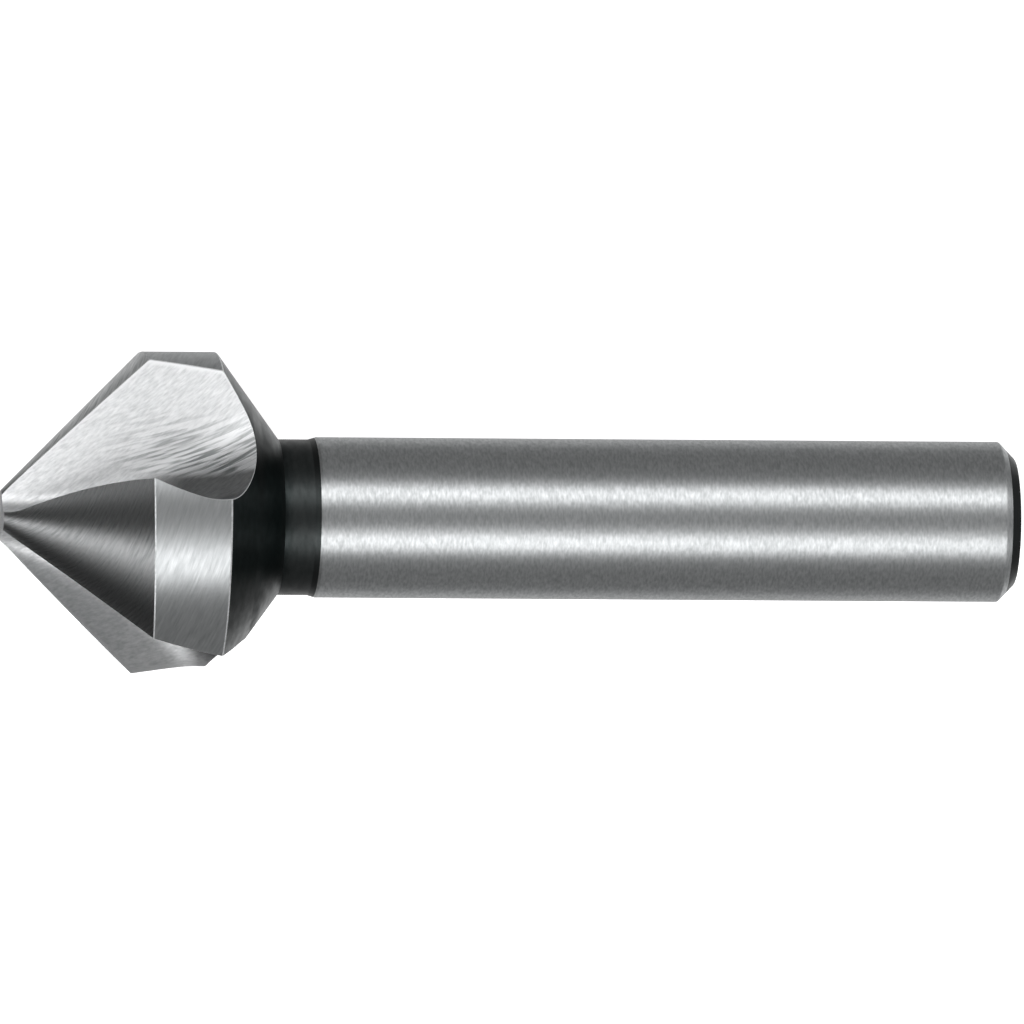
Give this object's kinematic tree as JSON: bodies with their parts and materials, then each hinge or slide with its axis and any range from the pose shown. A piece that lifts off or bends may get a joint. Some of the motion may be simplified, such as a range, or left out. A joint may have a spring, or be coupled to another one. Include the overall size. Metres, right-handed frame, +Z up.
{
  "type": "countersink bit",
  "caption": "Straight-shank countersink bit with a 90 degree fluted cutting cone, short cylindrical margins and a tapered back.",
  "frame": {"origin": "middle of the footprint on the surface that the bit lies on", "axes": "+X along the bit from its tip to its shank end, +Z up; the axis of the bit dips 4.8 degrees from tip to shank end, because the head is the thicker end"},
  "size_m": [0.0638, 0.0204, 0.0197],
  "materials": {
    "ground_steel": "ground high speed steel, blackened at the neck, the back of the head and the end chamfer"
  },
  "bodies": {
    "root": {"countersink_bit": "ground_steel"}
  },
  "joints": []
}
